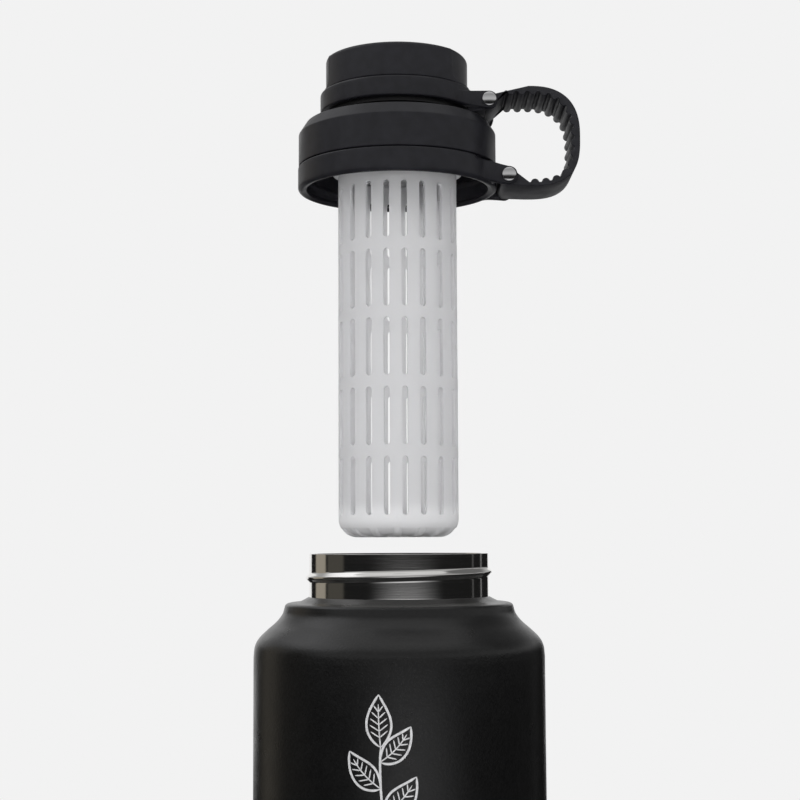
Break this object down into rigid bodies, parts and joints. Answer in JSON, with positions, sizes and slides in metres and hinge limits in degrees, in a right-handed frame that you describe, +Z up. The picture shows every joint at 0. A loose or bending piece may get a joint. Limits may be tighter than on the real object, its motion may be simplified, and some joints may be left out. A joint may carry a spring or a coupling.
{
  "type": "insulated infuser bottle",
  "caption": "Wide-mouth double-walled steel bottle with its screw lid lifted off: a chug cap on a ribbed carry loop, and a slotted infuser hanging under the lid.",
  "frame": {"origin": "centre of the base, on the surface that the bottle stands on", "axes": "+Z up along the bottle's axis, +X towards the carry loop, so the picture looks along +Y"},
  "size_m": [0.1153, 0.1016, 0.4213],
  "materials": {
    "coated_steel": "matte black powder coat, bare polished steel on the threaded neck",
    "bare_steel": "bare stainless steel, polished at the neck and brushed inside",
    "base_steel": "spun and brushed stainless steel",
    "sealing_glass": "fused sealing glass",
    "getter_alloy": "pressed grey powder metal",
    "lid_plastic": "satin black moulded polypropylene",
    "cap_plastic": "satin black moulded polypropylene with a fine texture",
    "liner_plastic": "smooth black moulded polypropylene",
    "loop_plastic": "soft black flexible plastic",
    "silicone": "milky silicone rubber",
    "chrome": "bright domed rivet heads",
    "frosted_plastic": "frosted translucent moulded plastic"
  },
  "bodies": {
    "bottle": {"outer_shell": "coated_steel", "inner_vessel": "bare_steel", "inner_bottom": "bare_steel", "outer_bottom": "base_steel", "base_cover": "base_steel", "vacuum_plug": "sealing_glass", "getter_capsule": "getter_alloy"},
    "lid_lifter": {"lid_gasket": "silicone"},
    "lid": {"lid_collar": "lid_plastic", "strap_ring": "lid_plastic", "loop_handle": "loop_plastic", "lower_rivet_stud": "chrome", "lower_rivet_socket": "chrome"},
    "cap_keeper": {"cap_ring": "lid_plastic", "upper_rivet_stud": "chrome", "upper_rivet_socket": "chrome"},
    "cap": {"cap_shell": "cap_plastic", "cap_liner": "liner_plastic", "cap_gasket": "silicone"},
    "infuser_lifter": {"infuser_seal": "silicone"},
    "infuser": {"infuser_basket": "frosted_plastic"}
  },
  "joints": [
    {"name": "lid_lift", "type": "slide", "parent": "bottle", "child": "lid_lifter", "axis": [0, 0, 1], "range_m": [-0.1445, 0]},
    {"name": "lid_turn", "type": "hinge", "parent": "lid_lifter", "child": "lid", "pos_m": [0, 0, 0.3743], "axis": [0, 0, 1], "range_deg": [-360, 0]},
    {"name": "cap_rise", "type": "slide", "parent": "lid", "child": "cap_keeper", "axis": [0, 0, 1], "range_m": [0, 0.00541], "deforming": ["loop_handle"]},
    {"name": "cap_turn", "type": "hinge", "parent": "cap_keeper", "child": "cap", "pos_m": [0, 0, 0.4094], "axis": [0, 0, 1], "range_deg": [0, 540]},
    {"name": "infuser_drop", "type": "slide", "parent": "lid", "child": "infuser_lifter", "axis": [0, 0, 1], "range_m": [-0.00376, 0]},
    {"name": "infuser_turn", "type": "hinge", "parent": "infuser_lifter", "child": "infuser", "pos_m": [0, 0, 0.3843], "axis": [0, 0, 1], "range_deg": [-450, 0]}
  ],
  "couplings": [
    {"joint": "cap_rise", "follows": "cap_turn", "m_per_rad": 0.00057296},
    {"joint": "infuser_drop", "follows": "infuser_turn", "m_per_rad": 0.00047746}
  ]
}
